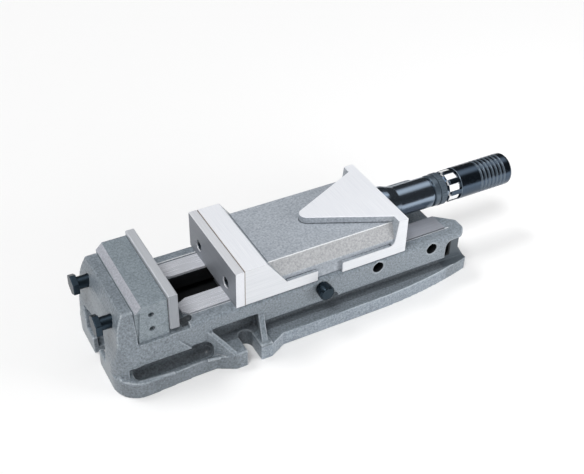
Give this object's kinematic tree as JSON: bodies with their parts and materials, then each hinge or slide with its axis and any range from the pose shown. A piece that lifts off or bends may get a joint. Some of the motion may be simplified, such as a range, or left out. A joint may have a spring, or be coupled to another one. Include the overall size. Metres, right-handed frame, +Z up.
{
  "type": "hydraulic machine vise",
  "caption": "Long-bed machine vise with a fixed jaw on a buttress, a sliding jaw on hardened ways, a locating pin and a booster spindle with a claw clutch.",
  "frame": {"origin": "on the base's bottom, mid width, straight below the fixed jaw's clamping face", "axes": "+X from the fixed jaw toward the crank end, +Z up, -Y the locating pin's side"},
  "size_m": [0.7184, 0.22, 0.147],
  "materials": {
    "cast_paint": "satin cast grain",
    "ground_cast": "ground lands, painted panel",
    "hard_way": "ground",
    "ground_plate": "ground",
    "black_oxide": "black oxide",
    "bronze": "machined",
    "turned_steel": "turned",
    "blued_steel": "blue-grey, polished",
    "bright_steel": "bright turned",
    "seal_rubber": "matte"
  },
  "bodies": {
    "bed": {"bed_casting": "cast_paint", "guide_ways": "hard_way", "fixed_jaw": "cast_paint", "fixed_jaw_plate": "ground_plate", "fixed_plate_screws": "black_oxide", "tie_bolts": "black_oxide", "nut_carrier": "turned_steel", "spindle_nut": "bronze"},
    "pin": {"locating_pin": "black_oxide", "pin_knob": "black_oxide"},
    "jaw": {"jaw_casting": "ground_cast", "moving_jaw_plate": "ground_plate", "moving_plate_screws": "black_oxide", "guide_keys": "bronze", "hold_down_plates": "turned_steel", "hold_down_screws": "black_oxide", "tube_collar": "black_oxide", "booster_tube": "black_oxide", "end_ring": "blued_steel", "bearing_front_washer": "turned_steel", "tube_seal": "seal_rubber"},
    "spindle": {"spindle": "turned_steel", "bearing_balls": "turned_steel", "bearing_rear_washer": "turned_steel", "booster_plunger": "turned_steel", "disc_springs": "turned_steel", "push_rod": "turned_steel", "claw_hub": "bright_steel", "retaining_bolt": "turned_steel", "clutch_spring": "turned_steel"},
    "preset": {"preset_ring": "black_oxide"},
    "sleeve": {"drive_sleeve": "black_oxide", "drive_socket": "turned_steel"}
  },
  "joints": [
    {"name": "jaw_slide", "type": "slide", "parent": "bed", "child": "jaw", "axis": [1, 0, 0], "range_m": [-0.0846, 0.0195]},
    {"name": "screw_turn", "type": "hinge", "parent": "jaw", "child": "spindle", "pos_m": [0.4, 0, 0.115], "axis": [1, 0, 0], "range_deg": [-6120, 1440]},
    {"name": "preset_turn", "type": "hinge", "parent": "spindle", "child": "preset", "pos_m": [0.475, 0, 0.115], "axis": [1, 0, 0], "range_deg": [0, 270]},
    {"name": "sleeve_pull", "type": "slide", "parent": "spindle", "child": "sleeve", "axis": [1, 0, 0], "range_m": [0, 0.016], "stiffness_N_per_m": 2000, "springref_m": -0.005, "deforming": ["clutch_spring"]},
    {"name": "pin_pull", "type": "slide", "parent": "bed", "child": "pin", "axis": [0, -1, 0], "range_m": [0, 0.084]}
  ],
  "couplings": [
    {"joint": "screw_turn", "follows": "jaw_slide", "rad_per_m": 1256.6}
  ]
}
